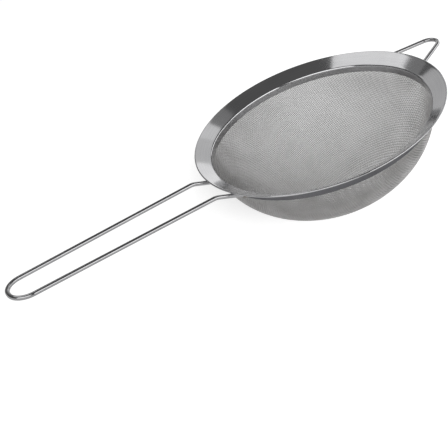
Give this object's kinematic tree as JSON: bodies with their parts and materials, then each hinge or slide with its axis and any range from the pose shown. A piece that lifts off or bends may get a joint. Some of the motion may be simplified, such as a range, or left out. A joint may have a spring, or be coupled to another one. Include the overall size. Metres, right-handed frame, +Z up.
{
  "type": "wire mesh strainer",
  "caption": "Round strainer with a bowl of fine woven wire in a sloping sheet-metal lip, a long looped wire handle and a short wire hook opposite it.",
  "frame": {"origin": "where the outside of the bowl touches the table that the strainer rests on", "axes": "+Z up from the table, +X along the table from the handle towards the hook, +Y across; the strainer leans on the end of its handle, so the axis of the bowl leans 20.69 degrees from +Z towards the handle"},
  "size_m": [0.3448, 0.18, 0.1077],
  "materials": {
    "rim_sheet": "polished",
    "band_sheet": "satin",
    "wire_cloth": "satin",
    "round_wire": "polished",
    "weld_metal": "satin"
  },
  "bodies": {
    "root": {"rim_flange": "rim_sheet", "clamp_band": "band_sheet", "mesh_bowl": "wire_cloth", "handle_wire": "round_wire", "hook_wire": "round_wire", "handle_welds": "weld_metal", "hook_welds": "weld_metal"}
  },
  "joints": []
}
